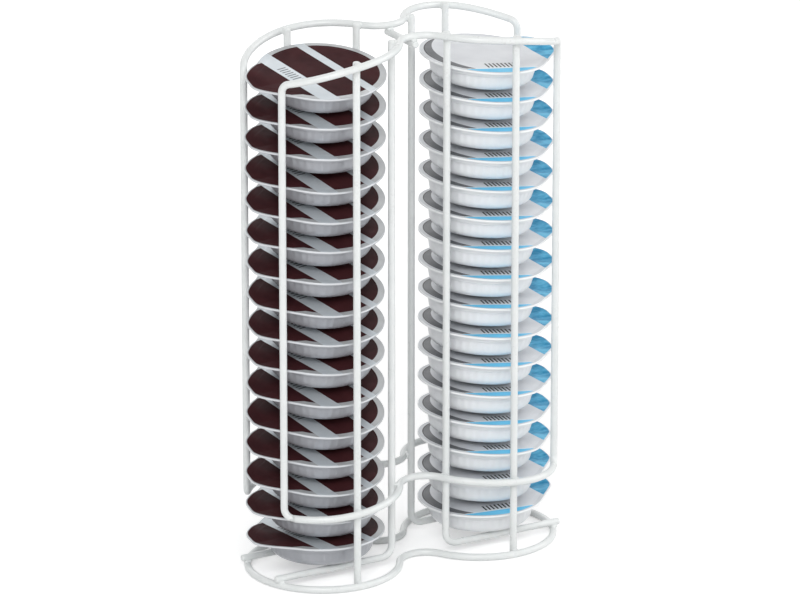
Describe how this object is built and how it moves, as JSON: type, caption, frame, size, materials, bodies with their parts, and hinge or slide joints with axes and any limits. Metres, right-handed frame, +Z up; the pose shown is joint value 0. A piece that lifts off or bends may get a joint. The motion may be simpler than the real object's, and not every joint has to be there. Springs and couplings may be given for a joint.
{
  "type": "coffee capsule dispenser",
  "caption": "Free-standing rack of white coated wire with two columns of flat coffee capsules, filled from the open top and emptied from the bottom.",
  "frame": {"origin": "on the surface it stands on, in the middle of the rack", "axes": "+X along the row of two columns towards the right one, +Y from front to back, +Z up"},
  "size_m": [0.1807, 0.0828, 0.2851],
  "materials": {
    "wire_coating": "satin white coating on steel wire",
    "silver_capsule": "silver-grey moulded plastic with a foil lid",
    "white_capsule": "white moulded plastic with a foil lid"
  },
  "bodies": {
    "root": {"base_ring": "wire_coating", "front_loop": "wire_coating", "back_loop": "wire_coating", "straight_rod_front_left": "wire_coating", "straight_rod_front_right": "wire_coating", "straight_rod_back_left": "wire_coating", "straight_rod_back_right": "wire_coating", "l_rod_front_left": "wire_coating", "l_rod_front_right": "wire_coating", "l_rod_back_left": "wire_coating", "l_rod_back_right": "wire_coating", "top_tie_bar": "wire_coating"},
    "left_bottom_capsule": {"capsule_left_01": "silver_capsule"},
    "left_stack": {"capsule_left_02": "silver_capsule", "capsule_left_03": "silver_capsule", "capsule_left_04": "silver_capsule", "capsule_left_05": "silver_capsule", "capsule_left_06": "silver_capsule", "capsule_left_07": "silver_capsule", "capsule_left_08": "silver_capsule", "capsule_left_09": "silver_capsule", "capsule_left_10": "silver_capsule", "capsule_left_11": "silver_capsule", "capsule_left_12": "silver_capsule", "capsule_left_13": "silver_capsule", "capsule_left_14": "silver_capsule", "capsule_left_15": "silver_capsule"},
    "left_top_capsule": {"capsule_left_16": "silver_capsule"},
    "right_bottom_capsule": {"capsule_right_01": "white_capsule"},
    "right_stack": {"capsule_right_02": "white_capsule", "capsule_right_03": "white_capsule", "capsule_right_04": "white_capsule", "capsule_right_05": "white_capsule", "capsule_right_06": "white_capsule", "capsule_right_07": "white_capsule", "capsule_right_08": "white_capsule", "capsule_right_09": "white_capsule", "capsule_right_10": "white_capsule", "capsule_right_11": "white_capsule", "capsule_right_12": "white_capsule", "capsule_right_13": "white_capsule", "capsule_right_14": "white_capsule", "capsule_right_15": "white_capsule"},
    "right_top_capsule": {"capsule_right_16": "white_capsule"}
  },
  "joints": [
    {"name": "left_dispense_slide", "type": "slide", "parent": "root", "child": "left_bottom_capsule", "axis": [-1, 0, 0], "range_m": [0, 0.085]},
    {"name": "left_stack_lift", "type": "slide", "parent": "root", "child": "left_stack", "axis": [0, 0, 1], "range_m": [0, 0.28]},
    {"name": "left_top_lift", "type": "slide", "parent": "left_stack", "child": "left_top_capsule", "axis": [0, 0, 1], "range_m": [0, 0.06]},
    {"name": "right_dispense_slide", "type": "slide", "parent": "root", "child": "right_bottom_capsule", "axis": [1, 0, 0], "range_m": [0, 0.085]},
    {"name": "right_stack_lift", "type": "slide", "parent": "root", "child": "right_stack", "axis": [0, 0, 1], "range_m": [0, 0.28]},
    {"name": "right_top_lift", "type": "slide", "parent": "right_stack", "child": "right_top_capsule", "axis": [0, 0, 1], "range_m": [0, 0.06]}
  ]
}
